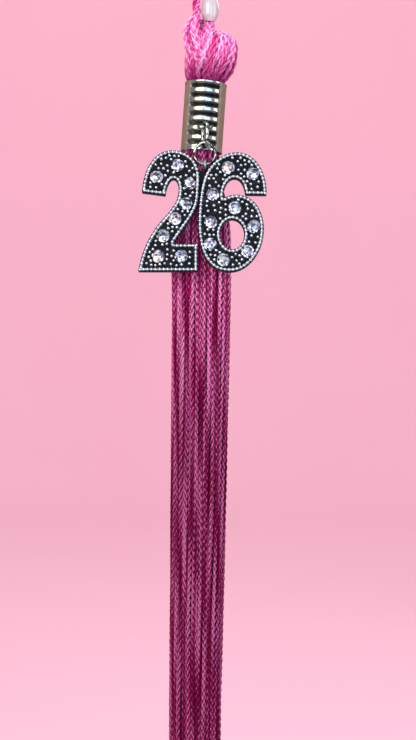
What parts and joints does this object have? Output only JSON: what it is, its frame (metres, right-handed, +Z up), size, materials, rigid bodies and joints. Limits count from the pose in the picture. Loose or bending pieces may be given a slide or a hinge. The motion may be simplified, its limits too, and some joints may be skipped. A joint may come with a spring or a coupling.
{
  "type": "graduation tassel with year charm",
  "caption": "Hanging graduation tassel: cord loop with a pearl bead, folded head, ribbed metal barrel, long thread skirt and a stone-set cast year charm on rings.",
  "frame": {"origin": "inside top of the hanging loop, where a peg or a cap's button carries it", "axes": "+Z up along the hanging tassel, +X to the right when facing the charm, the charm's front faces -Y"},
  "size_m": [0.0373, 0.0197, 0.3024],
  "materials": {
    "loop_cord": "lustrous twisted rayon cord",
    "head_thread": "lustrous rayon chainette, folded",
    "skirt_thread": "lustrous rayon chainette",
    "binding_thread": "wound thread",
    "pearl": "pearl lacquer",
    "barrel_metal": "polished nickel-plated sheet",
    "wire_metal": "antique silver wire",
    "cast_metal": "antique silver casting, blackened in its recesses",
    "crystal": "foil-backed faceted clear stone"
  },
  "bodies": {
    "loop": {"hanger_cord": "loop_cord"},
    "bead": {"pearl_bead": "pearl"},
    "tassel": {"folded_head": "head_thread", "barrel": "barrel_metal", "neck_binding": "binding_thread", "bound_neck": "skirt_thread", "barrel_eye": "wire_metal"},
    "skirt": {"skirt_core": "skirt_thread", "strand_01": "skirt_thread", "strand_02": "skirt_thread", "strand_03": "skirt_thread", "strand_04": "skirt_thread", "strand_05": "skirt_thread", "strand_06": "skirt_thread", "strand_07": "skirt_thread", "strand_08": "skirt_thread", "strand_09": "skirt_thread", "strand_10": "skirt_thread", "strand_11": "skirt_thread", "strand_12": "skirt_thread", "strand_13": "skirt_thread", "strand_14": "skirt_thread", "strand_15": "skirt_thread", "strand_16": "skirt_thread", "strand_17": "skirt_thread", "strand_18": "skirt_thread", "strand_19": "skirt_thread", "strand_20": "skirt_thread", "strand_21": "skirt_thread", "strand_22": "skirt_thread", "strand_23": "skirt_thread", "strand_24": "skirt_thread", "strand_25": "skirt_thread", "strand_26": "skirt_thread", "strand_27": "skirt_thread", "strand_28": "skirt_thread", "strand_29": "skirt_thread", "strand_30": "skirt_thread"},
    "link": {"small_link": "wire_metal"},
    "ring": {"jump_ring": "wire_metal"},
    "charm": {"charm_bail": "cast_metal", "digit_two": "cast_metal", "digit_six": "cast_metal", "stone_two_01": "crystal", "stone_two_02": "crystal", "stone_two_03": "crystal", "stone_two_04": "crystal", "stone_two_05": "crystal", "stone_two_06": "crystal", "stone_two_07": "crystal", "stone_two_08": "crystal", "stone_six_01": "crystal", "stone_six_02": "crystal", "stone_six_03": "crystal", "stone_six_04": "crystal", "stone_six_05": "crystal", "stone_six_06": "crystal", "stone_six_07": "crystal", "stone_six_08": "crystal", "stone_six_09": "crystal"}
  },
  "joints": [
    {"name": "tassel_sway", "type": "hinge", "parent": "loop", "child": "tassel", "pos_m": [0.0005, 0, -0.0552], "axis": [0, 1, 0], "range_deg": [-30, 30]},
    {"name": "bead_slide", "type": "slide", "parent": "loop", "child": "bead", "axis": [0.0499, 0, 0.9988], "range_m": [0, 0.008]},
    {"name": "skirt_sway", "type": "hinge", "parent": "tassel", "child": "skirt", "pos_m": [0.00006, 0, -0.0932], "axis": [0, 1, 0], "range_deg": [-20, 20]},
    {"name": "link_swing", "type": "hinge", "parent": "tassel", "child": "link", "pos_m": [0.0012, -0.0087, -0.0872], "axis": [-1, 0, 0], "range_deg": [0, 60]},
    {"name": "ring_sway", "type": "hinge", "parent": "link", "child": "ring", "pos_m": [0.0012, -0.0087, -0.09295], "axis": [0, 1, 0], "range_deg": [-30, 30]},
    {"name": "charm_tilt", "type": "hinge", "parent": "ring", "child": "charm", "pos_m": [0.0012, -0.0087, -0.09815], "axis": [-1, 0, 0], "range_deg": [0, 30]}
  ]
}
